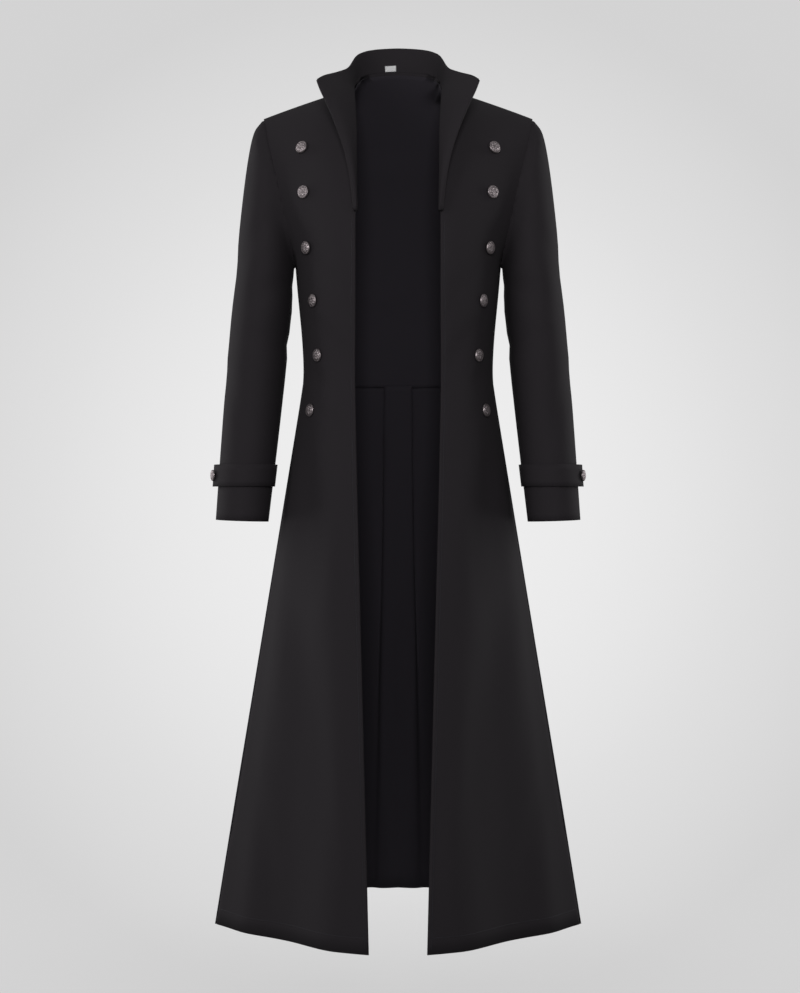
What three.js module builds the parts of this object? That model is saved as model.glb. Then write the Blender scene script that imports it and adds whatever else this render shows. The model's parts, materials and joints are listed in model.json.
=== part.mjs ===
// A frock coat worn open over nothing: hollow cloth walls in millimetres, +Z up, front facing -Y.
// The origin is on the centre line, level with the seam where the neck meets the shoulders.
import * as THREE from "three";

// ---- Driving sizes ----
const CLOTH = 2; // thickness of the outer cloth with its backing
const COLLAR_CLOTH = 2.6; // the collar is two layers
const LINING_CLOTH = 1;
const SEAM_GAP = 0.3; // between pieces that are sewn together
const LAYER_GAP = 0.5; // between a piece and what lies on it
const UNDERARM = -285; // height of the lowest point of the armhole
const WAIST_SEAM = -475; // height of the seam between back bodice and back skirt
const HEM = -1345;
const LENS_POWER = 1.35; // how the flat skirt section falls away from its middle to its side corner

const BUTTON_RADIUS = 10.2;
const CUFF_BUTTON_RADIUS = 9;
const BUTTON_HEIGHT = 5.6;
const BUTTON_STAND_OFF = 1; // the shank holds the back of the button this far off the cloth

const STRAP_TOP = -606;
const STRAP_BOTTOM = -641;
const STRAP_CLOTH = 2.2;
const STRAP_EASE = 1.4; // between the strap and the sleeve
const STRAP_LIFT = 6.5; // how far the free end of the strap stands off the sleeve
const STRAP_OVERLAP = 0.42; // how far past a whole turn the strap runs, in radians

const LABEL = { width: 18, bottom: 0.06, top: 0.29, offCentre: -12.5, cloth: 0.6 };

const CLOTH_COLOUR = 0x262528;
const LINING_COLOUR = 0x2b2730;
const METAL_COLOUR = 0x9a9092;
const LABEL_COLOUR = 0xf6f6f8;

// ---- Tables: one row for each section ----

// The seam that joins the collar to the coat, and the collar's free edge, from the centre of the
// back round the neck and down to the foot of the lapel.
const COLLAR_ROWS = [
  { seam: [0, 79, 45], edge: [0, 84, 88] },
  { seam: [28, 77, 43], edge: [29, 81, 86] },
  { seam: [52, 66, 38], edge: [53, 70, 80] },
  { seam: [66, 48, 27], edge: [68, 52, 69] },
  { seam: [71, 25, 14], edge: [76, 27, 49] },
  { seam: [72, 4, 2], edge: [83, -3, 31] },
  { seam: [70, -30, -16], edge: [105, -44, 11] },
  { seam: [67, -62, -44], edge: [127.5, -86, -10] },
  { seam: [65, -90, -84], edge: [111, -103, -50] },
  { seam: [65, -110, -126], edge: [91, -119, -102] },
  { seam: [65, -122, -172], edge: [75, -131, -161] },
  { seam: [65, -127, -222], edge: [67, -132, -220] },
];
const NECK_POINT = 5; // the row of COLLAR_ROWS at which the shoulder seam starts

// The armhole, from the tip of the shoulder down to the underarm, with its front and back halves.
const ARMHOLE_ROWS = [
  { z: -48, x: 217, front: 6, back: 6 },
  { z: -64, x: 214, front: -14, back: 25 },
  { z: -95, x: 207.5, front: -33, back: 42 },
  { z: -130, x: 198.5, front: -45, back: 53 },
  { z: -168, x: 189.5, front: -51, back: 59 },
  { z: -205, x: 181.5, front: -50, back: 58 },
  { z: -240, x: 175, front: -41, back: 49 },
  { z: -268, x: 169.5, front: -22, back: 33 },
  { z: UNDERARM, x: 166, front: 8, back: 8 },
];

// The coat below the armhole: front edge, side seam and centre of the back at each height.
// round is 1 where the section is a half ellipse and 0 where it is a flat lens with side corners.
const BODY_ROWS = [
  { z: UNDERARM, edgeX: 65, edgeY: -128, sideX: 166, sideY: 8, backY: 119, round: 0.9 },
  { z: -333, edgeX: 65, edgeY: -126, sideX: 162, sideY: 9, backY: 115, round: 0.92 },
  { z: -405, edgeX: 65.5, edgeY: -120, sideX: 155, sideY: 11, backY: 109, round: 0.94 },
  { z: -453, edgeX: 66, edgeY: -117, sideX: 152.5, sideY: 12, backY: 107, round: 0.92 },
  { z: WAIST_SEAM, edgeX: 66, edgeY: -117, sideX: 154, sideY: 12, backY: 108, round: 0.9 },
  { z: -530, edgeX: 65, edgeY: -120, sideX: 162.5, sideY: 12, backY: 118, round: 0.8 },
  { z: -598, edgeX: 63.5, edgeY: -125, sideX: 173.5, sideY: 10, backY: 131, round: 0.66 },
  { z: -700, edgeX: 61, edgeY: -132, sideX: 190, sideY: 9, backY: 150, round: 0.48 },
  { z: -850, edgeX: 57, edgeY: -142, sideX: 214.5, sideY: 7, backY: 177, round: 0.28 },
  { z: -1000, edgeX: 53, edgeY: -152, sideX: 239, sideY: 4, backY: 204, round: 0.15 },
  { z: -1170, edgeX: 48.5, edgeY: -162, sideX: 267, sideY: 2, backY: 235, round: 0.06 },
  { z: HEM, edgeX: 44, edgeY: -172, sideX: 295, sideY: 0, backY: 265, round: 0 },
];
const BACK_WAIST_ROW = 4; // the row of BODY_ROWS at the waist seam

// Centre of the back above the underarm, matched with the rows of the armhole.
const BACK_CENTRE_ROWS = [
  { z: 45, y: 79 },
  { z: 22, y: 86 },
  { z: -12, y: 95 },
  { z: -52, y: 104 },
  { z: -98, y: 112 },
  { z: -145, y: 118 },
  { z: -195, y: 121 },
  { z: -242, y: 121 },
];

// The inverted pleat at the centre of the back skirt. reach is how wide it is on each side, fold
// how far its layers lap over each other, depth how far its inner layer lies inside the skirt.
const PLEAT_ROWS = [
  { z: WAIST_SEAM, reach: 25, fold: 14.5, depth: 16 },
  { z: -530, reach: 30, fold: 14, depth: 19 },
  { z: -650, reach: 40, fold: 12, depth: 23 },
  { z: -850, reach: 54, fold: 9, depth: 27 },
  { z: -1100, reach: 66, fold: 7, depth: 29 },
  { z: HEM, reach: 76, fold: 5, depth: 30 },
];

// Soft folds of the skirts. at is the place across the panel, from 0 at its front edge or at the
// centre of the back to 1 at the side seam; out is how far the fold stands out at the hem.
const FRONT_FOLDS = [
  { at: 0.24, spread: 0.1, out: 5, top: -620 },
  { at: 0.52, spread: 0.12, out: -6, top: -560 },
  { at: 0.78, spread: 0.09, out: 7, top: -520 },
];
const BACK_FOLDS = [
  { at: 0.42, spread: 0.06, out: 13, top: -500 },
  { at: 0.56, spread: 0.07, out: -12, top: -520 },
  { at: 0.7, spread: 0.06, out: 10, top: -500 },
  { at: 0.84, spread: 0.06, out: -8, top: -560 },
];

// The sleeve below its head, as rings that tilt from the armhole to level.
const SLEEVE_ROWS = [
  { outerX: 235, outerZ: -72, innerX: 167.8, innerZ: -292, y: 5, halfDepth: 61 },
  { outerX: 246.5, outerZ: -140, innerX: 168.4, innerZ: -300, y: 5, halfDepth: 66 },
  { outerX: 255.5, outerZ: -225, innerX: 168.9, innerZ: -314, y: 4, halfDepth: 67 },
  { outerX: 266.5, outerZ: -333, innerX: 169.8, innerZ: -336, y: 4, halfDepth: 65 },
  { outerX: 273, outerZ: -410, innerX: 176, innerZ: -410, y: 4, halfDepth: 62 },
  { outerX: 280, outerZ: -502, innerX: 185.5, innerZ: -502, y: 1, halfDepth: 57 },
  { outerX: 286, outerZ: -600, innerX: 196, innerZ: -600, y: -9, halfDepth: 51 },
  { outerX: 291, outerZ: -694, innerX: 206.5, innerZ: -697, y: -22, halfDepth: 46 },
];

// The column of buttons on each front, by height and distance from the centre line.
const BUTTON_ROWS = [
  { z: -111, x: 150 },
  { z: -184, x: 146 },
  { z: -269, x: 142 },
  { z: -352, x: 131 },
  { z: -437, x: 124 },
  { z: -522, x: 136 },
];

// ---- Small helpers ----
const point = (x, y, z) => new THREE.Vector3(x, y, z);
const mix = (a, b, t) => a + (b - a) * t;
const clamp01 = (t) => Math.min(1, Math.max(0, t));

// A value read from a table at a height, with an eased curve between rows.
function atHeight(rows, z, column) {
  let k = 0;
  while (k < rows.length - 2 && rows[k + 1].z > z) k += 1;
  const t = clamp01((rows[k].z - z) / (rows[k].z - rows[k + 1].z));
  const before = rows[Math.max(0, k - 1)];
  const after = rows[Math.min(rows.length - 1, k + 2)];
  const span = rows[k].z - rows[k + 1].z;
  const slope = (a, b) => (a.z === b.z ? 0 : ((b[column] - a[column]) / (a.z - b.z)) * span);
  const m0 = slope(before, rows[k + 1]);
  const m1 = slope(rows[k], after);
  const t2 = t * t;
  const t3 = t2 * t;
  return (
    (2 * t3 - 3 * t2 + 1) * rows[k][column] +
    (t3 - 2 * t2 + t) * m0 +
    (-2 * t3 + 3 * t2) * rows[k + 1][column] +
    (t3 - t2) * m1
  );
}

// The curve of one section from a start point to its side point.
function sectionPoint(start, side, round, s) {
  const angle = (s * Math.PI) / 2;
  const across = mix(s, Math.sin(angle), round);
  const ahead = mix(1 - s ** LENS_POWER, Math.cos(angle), round);
  return point(
    mix(start.x, side.x, across),
    mix(side.y, start.y, ahead),
    mix(start.z, side.z, s),
  );
}

// Rows of points joined down each column by smooth curves, counts[k] steps between rows k and k+1.
function throughRows(rows, counts) {
  const columns = rows[0].map((_, i) => {
    const curve = new THREE.CatmullRomCurve3(rows.map((r) => r[i]), false, "centripetal");
    const points = [];
    rows.slice(1).forEach((_, k) => {
      for (let step = 0; step < counts[k]; step += 1) {
        points.push(curve.getPoint((k + step / counts[k]) / (rows.length - 1)));
      }
    });
    points.push(rows[rows.length - 1][i].clone());
    return points;
  });
  return columns[0].map((_, j) => columns.map((c) => c[j]));
}

// The unit normal at each point of a grid. closed says that each row runs round into itself.
function normalsOf(grid, closed) {
  const last = grid[0].length - 1;
  return grid.map((row, j) =>
    row.map((_, i) => {
      const left = closed ? (i + last) % (last + 1) : Math.max(0, i - 1);
      const right = closed ? (i + 1) % (last + 1) : Math.min(last, i + 1);
      const across = row[right].clone().sub(row[left]);
      const down = grid[Math.min(grid.length - 1, j + 1)][i].clone();
      down.sub(grid[Math.max(0, j - 1)][i]);
      return down.cross(across).normalize();
    }),
  );
}

// The grid moved along its normals.
function moved(grid, normals, distance) {
  return grid.map((row, j) =>
    row.map((p, i) => p.clone().addScaledVector(normals[j][i], distance)),
  );
}

// The grid with its border points drawn in, so that a seam is left between neighbours.
function drawnIn(grid, distance, closed) {
  const towards = (p, q) => p.clone().add(q.clone().sub(p).setLength(distance));
  const result = grid.map((row) => row.map((p) => p.clone()));
  const lastRow = grid.length - 1;
  const lastColumn = grid[0].length - 1;
  grid[0].forEach((p, i) => {
    result[0][i] = towards(p, grid[1][i]);
    result[lastRow][i] = towards(grid[lastRow][i], grid[lastRow - 1][i]);
  });
  if (closed) return result;
  result.forEach((row) => {
    row[0] = towards(row[0], row[1]);
    row[lastColumn] = towards(row[lastColumn], row[lastColumn - 1]);
  });
  return result;
}

// A closed wall between a face grid and a back grid. Faces look away from the back grid.
function wallGeometry(face, back, closed) {
  const width = face[0].length;
  const height = face.length;
  const positions = [];
  [face, back].forEach((grid) => grid.forEach((row) => row.forEach((p) => positions.push(p.x, p.y, p.z))));
  const faceAt = (j, i) => j * width + (i % width);
  const backAt = (j, i) => width * height + faceAt(j, i);
  const index = [];
  const quad = (a, b, c, d) => index.push(a, c, b, a, d, c);
  const spans = closed ? width : width - 1;
  for (let j = 0; j < height - 1; j += 1) {
    for (let i = 0; i < spans; i += 1) {
      quad(faceAt(j, i), faceAt(j, i + 1), faceAt(j + 1, i + 1), faceAt(j + 1, i));
      quad(backAt(j, i), backAt(j + 1, i), backAt(j + 1, i + 1), backAt(j, i + 1));
    }
  }
  for (let i = 0; i < spans; i += 1) {
    quad(faceAt(0, i + 1), faceAt(0, i), backAt(0, i), backAt(0, i + 1));
    quad(faceAt(height - 1, i), faceAt(height - 1, i + 1), backAt(height - 1, i + 1), backAt(height - 1, i));
  }
  for (let j = 0; j < height - 1 && !closed; j += 1) {
    quad(faceAt(j, 0), faceAt(j + 1, 0), backAt(j + 1, 0), backAt(j, 0));
    quad(faceAt(j + 1, width - 1), faceAt(j, width - 1), backAt(j, width - 1), backAt(j + 1, width - 1));
  }
  const geometry = new THREE.BufferGeometry();
  geometry.setAttribute("position", new THREE.Float32BufferAttribute(positions, 3));
  geometry.setIndex(index);
  geometry.computeVertexNormals();
  return geometry;
}

// The same shape on the other side of the centre line, with its faces turned back out.
function mirrored(geometry) {
  const copy = geometry.clone();
  copy.scale(-1, 1, 1);
  const index = copy.index.array;
  for (let k = 0; k < index.length; k += 3) {
    [index[k + 1], index[k + 2]] = [index[k + 2], index[k + 1]];
  }
  copy.computeVertexNormals();
  return copy;
}

// ---- Collar and neck seam ----
const tableCurve = (column, flip) =>
  new THREE.CatmullRomCurve3(
    COLLAR_ROWS.map((r) => point(flip * r[column][0], r[column][1], r[column][2])),
    false,
    "centripetal",
  );
const neckSeam = tableCurve("seam", 1);
const NECK_FRACTION = NECK_POINT / (COLLAR_ROWS.length - 1);

// A point of the collar's outer face: along runs from -1 to 1 round the neck, up from seam to edge.
const COLLAR_ROLL = 5; // how far the middle of the collar's width bows away from a straight line
function collarPoint(along, up) {
  const flip = along < 0 ? -1 : 1;
  const seam = tableCurve("seam", flip).getPoint(Math.abs(along));
  const edge = tableCurve("edge", flip).getPoint(Math.abs(along));
  const bow = COLLAR_ROLL * Math.sin(up * Math.PI) * clamp01((Math.abs(along) - 0.45) * 4);
  return point(
    mix(seam.x, edge.x, up) - flip * bow * 0.5,
    mix(seam.y, edge.y, up) - bow,
    mix(seam.z, edge.z, up),
  );
}

// ---- Body panels ----
function foldAt(folds, s, z) {
  return folds.reduce((sum, f) => {
    const reach = clamp01((f.top - z) / (f.top - HEM));
    return sum + f.out * reach * Math.exp(-(((s - f.at) / f.spread) ** 2));
  }, 0);
}

function bodySection(z, column) {
  return atHeight(BODY_ROWS, z, column);
}

const FRONT_COLUMNS = 14;
const BACK_COLUMNS = 12; // on each side of the centre
const NECK_COLUMNS = 4; // of them, under the neck seam at the top
const SKIRT_COLUMNS = 15; // on each side, from the pleat to the side seam
const PLEAT_COLUMNS = 14; // on each side, through the pleat
const ARMHOLE_STEPS = 1;
const BODY_STEPS = [2, 2, 1, 1, 1, 2, 2, 2, 2, 2, 2];

const armholePoint = (row, half) => point(row.x, row[half], row.z);

// Rows of the left front, from the front edge to the armhole or side seam.
function frontRows() {
  const upper = ARMHOLE_ROWS.slice(0, -1).map((row, k) => {
    const share = k / (ARMHOLE_ROWS.length - 2);
    const edge = neckSeam.getPoint(mix(NECK_FRACTION, 1, share));
    const round = mix(0.1, 0.75, share);
    return rowPoints(edge, armholePoint(row, "front"), round, FRONT_COLUMNS);
  });
  const lower = BODY_ROWS.map((row) => {
    const edge = point(row.edgeX, row.edgeY, row.z);
    return rowPoints(edge, point(row.sideX, row.sideY, row.z), row.round, FRONT_COLUMNS);
  });
  return [...upper, ...lower];
}

function rowPoints(start, side, round, columns) {
  return Array.from({ length: columns + 1 }, (_, i) =>
    sectionPoint(start, side, round, i / columns),
  );
}

function addFolds(grid, folds) {
  const normals = normalsOf(grid, false);
  const columns = grid[0].length - 1;
  grid.forEach((row, j) =>
    row.forEach((p, i) => {
      p.addScaledVector(normals[j][i], foldAt(folds, i / columns, p.z) * edgeFade(i / columns));
    }),
  );
  return grid;
}

// Folds die away at a panel's own borders.
const edgeFade = (s) => clamp01(s * 12) * clamp01((1 - s) * 12);

// Half of the back bodice, from the centre to the armhole or side seam.
function backHalfRows() {
  const tip = armholePoint(ARMHOLE_ROWS[0], "back");
  const neckPoint = neckSeam.getPoint(NECK_FRACTION);
  const top = Array.from({ length: BACK_COLUMNS + 1 }, (_, i) => {
    if (i <= NECK_COLUMNS) return neckSeam.getPoint((i / NECK_COLUMNS) * NECK_FRACTION);
    return neckPoint.clone().lerp(tip, (i - NECK_COLUMNS) / (BACK_COLUMNS - NECK_COLUMNS));
  });
  const upper = BACK_CENTRE_ROWS.slice(1).map((centre, k) => {
    const row = ARMHOLE_ROWS[k + 1];
    const round = mix(0.35, 0.8, k / (BACK_CENTRE_ROWS.length - 2));
    return rowPoints(point(0, centre.y, centre.z), armholePoint(row, "back"), round, BACK_COLUMNS);
  });
  const lower = BODY_ROWS.slice(0, BACK_WAIST_ROW + 1).map((row) =>
    rowPoints(point(0, row.backY, row.z), point(row.sideX, row.sideY, row.z), row.round, BACK_COLUMNS),
  );
  return [top, ...upper, ...lower];
}

// A whole row from its half, running from the wearer's left side seam to the right one.
function bothSides(half) {
  const right = half.slice(1).map((p) => point(-p.x, p.y, p.z));
  return [...half.slice().reverse(), ...right];
}

// One row of the back skirt, with the inverted pleat and the soft folds.
function skirtHalfRow(z) {
  const centre = point(0, bodySection(z, "backY"), z);
  const side = point(bodySection(z, "sideX"), bodySection(z, "sideY"), z);
  const round = bodySection(z, "round");
  const reach = atHeight(PLEAT_ROWS, z, "reach");
  const fold = atHeight(PLEAT_ROWS, z, "fold");
  const depth = atHeight(PLEAT_ROWS, z, "depth");
  const shareAt = (x) => {
    let low = 0;
    let high = 1;
    for (let step = 0; step < 30; step += 1) {
      const middle = (low + high) / 2;
      if (sectionPoint(centre, side, round, middle).x < x) low = middle;
      else high = middle;
    }
    return low;
  };
  const pleat = Array.from({ length: PLEAT_COLUMNS }, (_, i) => {
    const t = i / PLEAT_COLUMNS;
    const x = reach * t + fold * Math.sin(2 * Math.PI * t);
    const y = sectionPoint(centre, side, round, shareAt(x)).y;
    return point(x, y - (depth * (1 + Math.cos(Math.PI * t))) / 2, z);
  });
  const start = shareAt(reach);
  const rest = Array.from({ length: SKIRT_COLUMNS + 1 }, (_, i) => {
    const s = mix(start, 1, i / SKIRT_COLUMNS);
    const p = sectionPoint(centre, side, round, s);
    p.y += foldAt(BACK_FOLDS, s, z) * edgeFade(i / SKIRT_COLUMNS);
    return p;
  });
  return [...pleat, ...rest];
}

// Seam directions that neighbours share, so that their walls meet in a mitre.
function shareSeams(normals, seams) {
  normals.forEach((row, j) => {
    row.forEach((n, i) => {
      seams.forEach((seam) => {
        if (seam.holds(j, i)) n.copy(seam.direction).setLength(seam.length ?? 1);
      });
    });
  });
  return normals;
}

const SHOULDER_UP = point(0.3, 0, 0.95);
const SIDE_OUT = point(1, 0, 0);
const SIDE_MITRE = 1.35; // a mitred corner is longer through than the cloth is thick
const armholeRowCount = (ARMHOLE_ROWS.length - 1) * ARMHOLE_STEPS;

// The side seam, which the front and the back share.
function pinToSideSeam(grid, column, flip) {
  const seam = throughRows(BODY_ROWS.map((r) => [point(flip * r.sideX, r.sideY, r.z)]), BODY_STEPS);
  grid.slice(armholeRowCount).forEach((row, j) => row[column].copy(seam[j][0]));
}

function frontGeometry() {
  const rows = frontRows();
  const counts = [...ARMHOLE_ROWS.slice(0, -1).map(() => ARMHOLE_STEPS), ...BODY_STEPS];
  const grid = addFolds(throughRows(rows, counts), FRONT_FOLDS);
  const last = grid[0].length - 1;
  pinToSideSeam(grid, last, 1);
  const normals = shareSeams(normalsOf(grid, false), [
    { holds: (j) => j === 0, direction: SHOULDER_UP },
    { holds: (j, i) => i === last && j >= armholeRowCount, direction: SIDE_OUT, length: SIDE_MITRE },
  ]);
  const face = drawnIn(grid, SEAM_GAP / 2, false);
  return { grid, normals, geometry: wallGeometry(face, moved(face, normals, -CLOTH), false) };
}

function backBodice() {
  const rows = backHalfRows().map(bothSides);
  const counts = [...ARMHOLE_ROWS.slice(0, -1).map(() => ARMHOLE_STEPS), ...BODY_STEPS.slice(0, BACK_WAIST_ROW)];
  const grid = throughRows(rows, counts);
  const last = grid[0].length - 1;
  pinToSideSeam(grid, 0, 1);
  pinToSideSeam(grid, last, -1);
  const shoulders = (i) => Math.abs(i - BACK_COLUMNS) > NECK_COLUMNS;
  const tilt = (flip) => point(flip * SHOULDER_UP.x, SHOULDER_UP.y, SHOULDER_UP.z);
  const normals = shareSeams(normalsOf(grid, false), [
    { holds: (j, i) => j === 0 && shoulders(i) && i < BACK_COLUMNS, direction: tilt(1) },
    { holds: (j, i) => j === 0 && shoulders(i) && i > BACK_COLUMNS, direction: tilt(-1) },
    { holds: (j, i) => i === 0 && j >= armholeRowCount, direction: SIDE_OUT, length: SIDE_MITRE },
    {
      holds: (j, i) => i === last && j >= armholeRowCount,
      direction: point(-1, 0, 0),
      length: SIDE_MITRE,
    },
  ]);
  const face = drawnIn(grid, SEAM_GAP / 2, false);
  const geometry = wallGeometry(face, moved(face, normals, -CLOTH), false);
  return { grid, normals, geometry };
}

// The lining lies inside the back bodice and stops short of its borders.
const LINING_MARGIN_COLUMNS = 1;
function liningGeometry(bodice) {
  const keep = (rows) =>
    rows.slice(1).map((row) => row.slice(LINING_MARGIN_COLUMNS, row.length - LINING_MARGIN_COLUMNS));
  const grid = keep(bodice.grid);
  const normals = keep(bodice.normals).map((row) => row.map((n) => n.clone().normalize()));
  const face = moved(grid, normals, -(CLOTH + LAYER_GAP));
  const drawn = drawnIn(face, SEAM_GAP, false);
  return wallGeometry(drawn, moved(drawn, normals, -LINING_CLOTH), false);
}

const SKIRT_HEIGHTS = [WAIST_SEAM, -500, -530, -570, -620, -690, -780, -880, -990, -1100, -1220, HEM];
function skirtGeometry() {
  const grid = SKIRT_HEIGHTS.map((z) => bothSides(skirtHalfRow(z)));
  const last = grid[0].length - 1;
  const normals = shareSeams(normalsOf(grid, false), [
    { holds: (j, i) => i === 0, direction: SIDE_OUT, length: SIDE_MITRE },
    { holds: (j, i) => i === last, direction: point(-1, 0, 0), length: SIDE_MITRE },
  ]);
  const face = drawnIn(grid, SEAM_GAP / 2, false);
  return wallGeometry(face, moved(face, normals, -CLOTH), false);
}

// ---- Collar and label ----
const COLLAR_COLUMNS = 44;
const COLLAR_STEPS = 5;
function collarGrid() {
  return Array.from({ length: COLLAR_STEPS + 1 }, (_, j) =>
    Array.from({ length: COLLAR_COLUMNS + 1 }, (_, i) => {
      const along = 1 - (2 * i) / COLLAR_COLUMNS;
      const up = mix(1, 0.012, j / COLLAR_STEPS);
      return collarPoint(along, up);
    }),
  );
}
function collarGeometry() {
  const grid = collarGrid();
  const normals = normalsOf(grid, false);
  const face = drawnIn(grid, SEAM_GAP, false);
  return wallGeometry(face, moved(face, normals, -COLLAR_CLOTH), false);
}

function labelGeometry() {
  const reachOf = (x) => x / (COLLAR_ROWS[1].seam[0] * (COLLAR_ROWS.length - 1));
  const left = reachOf(LABEL.offCentre + LABEL.width / 2);
  const right = reachOf(LABEL.offCentre - LABEL.width / 2);
  const grid = [LABEL.top, LABEL.bottom].map((up) =>
    [left, mix(left, right, 0.5), right].map((along) => collarPoint(along, up)),
  );
  const normals = normalsOf(grid, false);
  const face = moved(grid, normals, -(COLLAR_CLOTH + LAYER_GAP));
  return wallGeometry(face, moved(face, normals, -LABEL.cloth), false);
}

// ---- Sleeves ----
const RING_POINTS = 28;
const SLEEVE_STEPS = [2, 1, 1, 1, 1, 1, 2, 2];

function sleeveRing(row, k) {
  const angle = (2 * Math.PI * k) / RING_POINTS;
  const x = mix(row.innerX, row.outerX, (1 + Math.cos(angle)) / 2);
  const z = mix(row.innerZ, row.outerZ, (1 + Math.cos(angle)) / 2);
  return point(x, row.y - row.halfDepth * Math.sin(angle), z);
}

// The armhole as a ring of points, down the front and up the back, moved out of the seam.
function armholeRing() {
  const front = ARMHOLE_ROWS.map((r) => armholePoint(r, "front"));
  const back = ARMHOLE_ROWS.slice(1, -1).reverse().map((r) => armholePoint(r, "back"));
  const loop = new THREE.CatmullRomCurve3([...front, ...back], true, "centripetal");
  const count = front.length + back.length;
  return Array.from({ length: RING_POINTS }, (_, k) => {
    const share = (k / RING_POINTS) * count;
    return loop.getPoint(share / count).add(point(2 * SEAM_GAP, 0, 0));
  });
}

function sleeveGrid() {
  const rings = SLEEVE_ROWS.map((row) =>
    Array.from({ length: RING_POINTS }, (_, k) => sleeveRing(row, k)),
  );
  // Down the front and round, the ring turns so that its faces look out of the sleeve.
  return throughRows([armholeRing(), ...rings], SLEEVE_STEPS).map((r) => [r[0], ...r.slice(1).reverse()]);
}

function sleeve() {
  const grid = sleeveGrid();
  const normals = normalsOf(grid, true);
  // At the armhole the sleeve's wall runs straight inwards, beside the body's.
  normals[0].forEach((n) => n.setX(Math.min(n.x, 0)).normalize());
  return { grid, geometry: wallGeometry(grid, moved(grid, normals, -CLOTH), true) };
}

// ---- Cuff strap: a band once round the sleeve, its free end lapping over and standing off ----
const STRAP_COLUMNS = 34;
const STRAP_START = -0.3; // where the strap's hidden end starts, measured from the outer side
function sleeveRowAt(z) {
  const k = SLEEVE_ROWS.findIndex((row) => row.innerZ < z);
  const a = SLEEVE_ROWS[k - 1];
  const b = SLEEVE_ROWS[k];
  const t = (a.innerZ - z) / (a.innerZ - b.innerZ);
  return Object.fromEntries(Object.keys(a).map((key) => [key, mix(a[key], b[key], t)]));
}
function strapGrid() {
  return [STRAP_TOP, STRAP_BOTTOM].map((z) => {
    const row = sleeveRowAt(z);
    const halfWidth = (row.outerX - row.innerX) / 2;
    return Array.from({ length: STRAP_COLUMNS + 1 }, (_, i) => {
      const turn = (i / STRAP_COLUMNS) * (2 * Math.PI + STRAP_OVERLAP);
      const angle = STRAP_START + turn;
      const rise = clamp01((turn - 2 * Math.PI + 0.5) / (STRAP_OVERLAP + 0.5));
      const off = STRAP_CLOTH + STRAP_EASE + STRAP_LIFT * rise ** 1.1;
      return point(
        (row.outerX + row.innerX) / 2 + (halfWidth + off) * Math.cos(angle),
        row.y + (row.halfDepth + off) * Math.sin(angle),
        z,
      );
    });
  });
}
function strap() {
  const grid = strapGrid();
  const normals = normalsOf(grid, false);
  return { grid, geometry: wallGeometry(grid, moved(grid, normals, -STRAP_CLOTH), false) };
}

// ---- Buttons: a flat back, a raised rim and a domed middle ----
function buttonGeometry(radius) {
  const rim = radius * 0.16;
  const profile = [
    [0, 0],
    [radius * 0.82, 0],
    [radius, BUTTON_HEIGHT * 0.28],
    [radius, BUTTON_HEIGHT * 0.5],
    [radius - rim * 0.5, BUTTON_HEIGHT * 0.62],
    [radius - rim * 1.3, BUTTON_HEIGHT * 0.52],
    [radius * 0.5, BUTTON_HEIGHT * 0.86],
    [0, BUTTON_HEIGHT],
  ].map(([r, h]) => new THREE.Vector2(r, h));
  return new THREE.LatheGeometry(profile, 16);
}

function buttonMesh(name, radius, place, normal) {
  const mesh = new THREE.Mesh(buttonGeometry(radius), metal(name));
  mesh.position.copy(place).addScaledVector(normal, BUTTON_STAND_OFF);
  mesh.quaternion.setFromUnitVectors(point(0, 1, 0), normal);
  return mesh;
}

// The point of a front panel at a height and distance from the centre line.
function onPanel(panel, x, z) {
  let best = null;
  panel.grid.slice(0, -1).forEach((row, j) => {
    row.slice(0, -1).forEach((a, i) => {
      const b = row[i + 1];
      const c = panel.grid[j + 1][i];
      const d = panel.grid[j + 1][i + 1];
      [[a, b, c], [b, d, c]].forEach((corners) => {
        const flat = corners.map((p) => point(p.x, 0, p.z));
        const triangle = new THREE.Triangle(...flat);
        const share = triangle.getBarycoord(point(x, 0, z), point(0, 0, 0));
        const inside = share && share.x >= 0 && share.y >= 0 && share.z >= 0;
        const facesFront = new THREE.Triangle(...corners).getNormal(point(0, 0, 0));
        if (inside && !best) {
          const place = point(0, 0, 0);
          corners.forEach((p, k) => place.addScaledVector(p, share.getComponent(k)));
          const normal = facesFront.y < 0 ? facesFront : facesFront.negate();
          best = { place, normal };
        }
      });
    });
  });
  return best;
}

// ---- Materials ----
const cloth = (name) =>
  new THREE.MeshStandardMaterial({ name, color: CLOTH_COLOUR, roughness: 0.5, side: THREE.DoubleSide });
const liningCloth = (name) =>
  new THREE.MeshStandardMaterial({ name, color: LINING_COLOUR, roughness: 0.4 });
const metal = (name) =>
  new THREE.MeshStandardMaterial({ name, color: METAL_COLOUR, roughness: 0.35, metalness: 1 });
const labelCloth = (name) =>
  new THREE.MeshStandardMaterial({ name, color: LABEL_COLOUR, roughness: 0.8 });

// ---- The coat ----
const coat = new THREE.Group();
function add(name, geometry, material) {
  const mesh = new THREE.Mesh(geometry, material(name));
  mesh.name = name;
  coat.add(mesh);
  return mesh;
}

const front = frontGeometry();
const bodice = backBodice();
const arm = sleeve();
const band = strap();

add("front_left", front.geometry, cloth);
add("front_right", mirrored(front.geometry), cloth);
add("back_bodice", bodice.geometry, cloth);
add("back_lining", liningGeometry(bodice), liningCloth);
add("back_skirt", skirtGeometry(), cloth);
add("collar", collarGeometry(), cloth);
add("label", labelGeometry(), labelCloth);
add("sleeve_left", arm.geometry, cloth);
add("sleeve_right", mirrored(arm.geometry), cloth);
add("cuff_strap_left", band.geometry, cloth);
add("cuff_strap_right", mirrored(band.geometry), cloth);

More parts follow.
